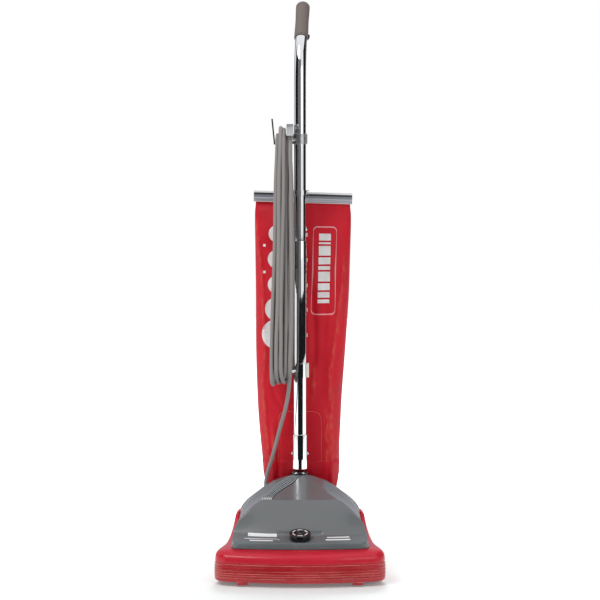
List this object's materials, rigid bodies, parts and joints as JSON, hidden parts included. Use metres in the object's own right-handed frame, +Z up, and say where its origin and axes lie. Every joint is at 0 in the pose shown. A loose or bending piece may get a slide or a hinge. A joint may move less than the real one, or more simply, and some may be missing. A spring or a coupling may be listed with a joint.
{
  "type": "upright vacuum cleaner",
  "caption": "Upright vacuum cleaner: low wheeled base with a glossy hood and brush roll, bail handle of stepped chrome tubes, hanging cloth bag and cord wound on two hooks.",
  "frame": {"origin": "on the floor, at the centre of the machine's outline without its cord", "axes": "+Z up, the front with the brush and bumper at -Y, +X to the right seen from the front"},
  "size_m": [0.3496, 0.38, 1.2127],
  "materials": {
    "red_plastic": "semi-gloss moulded red",
    "grey_gloss": "glossy grey",
    "black_plastic": "satin",
    "grey_plastic": "satin",
    "steel": "plain steel",
    "copper": "wound copper",
    "black_rubber": "matte",
    "wood": "varnished",
    "chrome": "polished",
    "grip_plastic": "satin grey brown",
    "cream_plastic": "satin cream",
    "cord_vinyl": "satin grey",
    "red_cloth": "coated cloth"
  },
  "bodies": {
    "base": {"base_housing": "red_plastic", "furniture_guard": "red_plastic", "hood": "grey_gloss", "bottom_plate": "steel", "motor_can": "black_plastic", "motor_end_cap": "black_plastic", "motor_bracket": "steel", "fan_housing": "grey_plastic", "exhaust_duct": "grey_plastic", "drive_belt": "black_rubber", "rear_axle": "steel", "pedal_pin": "steel", "pivot_pin_left": "steel", "pivot_pin_right": "steel", "brush_cap_left": "black_plastic", "brush_cap_right": "black_plastic"},
    "rotor": {"motor_shaft": "steel", "fan": "steel", "armature": "copper", "motor_pulley": "steel"},
    "brush": {"brush_roll": "wood", "bristles_left_a": "black_plastic", "bristles_left_b": "black_plastic", "bristles_right_a": "black_plastic", "bristles_right_b": "black_plastic"},
    "carriage": {"wheel_carriage": "steel", "front_axle": "steel"},
    "front_wheel_left": {"front_wheel_left": "black_rubber"},
    "front_wheel_right": {"front_wheel_right": "black_rubber"},
    "rear_wheel_left": {"rear_wheel_left": "black_rubber"},
    "rear_wheel_right": {"rear_wheel_right": "black_rubber"},
    "knob": {"height_knob": "black_plastic"},
    "pedal": {"release_pedal": "black_plastic"},
    "latch_left": {"plate_latch_left": "steel"},
    "latch_right": {"plate_latch_right": "steel"},
    "handle": {"handle_bail": "chrome", "lower_tube": "chrome", "middle_tube": "chrome", "upper_tube": "chrome", "handle_grip": "grip_plastic", "tube_bolt_low": "steel", "tube_bolt_high": "steel", "hook_bracket_upper": "chrome", "hook_finger": "black_plastic", "hook_bracket_lower": "chrome", "hook_block_upper": "grey_plastic", "hook_block_lower": "cream_plastic", "bag_body": "red_cloth", "bag_cuff": "black_plastic", "bag_hanger": "chrome", "cord_hank": "cord_vinyl", "cord_lead": "cord_vinyl", "cord_plug": "black_rubber", "strain_relief": "black_rubber"},
    "switch": {"power_switch": "black_plastic"},
    "clip": {"bag_clip": "chrome"}
  },
  "joints": [
    {"name": "handle_recline", "type": "hinge", "parent": "base", "child": "handle", "pos_m": [0, 0.05, 0.085], "axis": [-1, 0, 0], "range_deg": [0, 72]},
    {"name": "motor_spin", "type": "hinge", "parent": "base", "child": "rotor", "pos_m": [0, -0.0725, 0.085], "axis": [0, 1, 0], "continuous": true},
    {"name": "brush_spin", "type": "hinge", "parent": "base", "child": "brush", "pos_m": [0, -0.125, 0.034], "axis": [1, 0, 0], "continuous": true},
    {"name": "nozzle_height", "type": "slide", "parent": "base", "child": "carriage", "axis": [0, 0, -1], "range_m": [0, 0.008]},
    {"name": "front_wheel_left_spin", "type": "hinge", "parent": "carriage", "child": "front_wheel_left", "pos_m": [-0.08, -0.0655, 0.016], "axis": [1, 0, 0], "continuous": true},
    {"name": "front_wheel_right_spin", "type": "hinge", "parent": "carriage", "child": "front_wheel_right", "pos_m": [0.08, -0.0655, 0.016], "axis": [1, 0, 0], "continuous": true},
    {"name": "rear_wheel_left_spin", "type": "hinge", "parent": "base", "child": "rear_wheel_left", "pos_m": [-0.1205, 0.122, 0.03], "axis": [1, 0, 0], "continuous": true},
    {"name": "rear_wheel_right_spin", "type": "hinge", "parent": "base", "child": "rear_wheel_right", "pos_m": [0.1205, 0.122, 0.03], "axis": [1, 0, 0], "continuous": true},
    {"name": "height_knob_turn", "type": "hinge", "parent": "base", "child": "knob", "pos_m": [0, -0.127, 0.0905], "axis": [0, -0.2164, 0.9763], "range_deg": [0, 300]},
    {"name": "release_pedal_press", "type": "hinge", "parent": "base", "child": "pedal", "pos_m": [-0.07, 0.148, 0.033], "axis": [-1, 0, 0], "range_deg": [0, 14], "stiffness_Nm_per_rad": 0.3, "springref_deg": -8.59},
    {"name": "plate_latch_left_turn", "type": "hinge", "parent": "base", "child": "latch_left", "pos_m": [-0.127, -0.079, 0.0088], "axis": [0, 0, 1], "range_deg": [0, 90]},
    {"name": "plate_latch_right_turn", "type": "hinge", "parent": "base", "child": "latch_right", "pos_m": [0.127, -0.079, 0.0088], "axis": [0, 0, 1], "range_deg": [0, 90]},
    {"name": "power_switch_slide", "type": "slide", "parent": "handle", "child": "switch", "axis": [0.0429, 0.6142, 0.788], "range_m": [0, 0.004]},
    {"name": "bag_clip_slide", "type": "slide", "parent": "handle", "child": "clip", "axis": [0.9995, 0, -0.0314], "range_m": [0, 0.22]}
  ],
  "couplings": [
    {"joint": "brush_spin", "follows": "motor_spin", "ratio": -0.3771},
    {"joint": "height_knob_turn", "follows": "nozzle_height", "rad_per_m": 654.49}
  ]
}
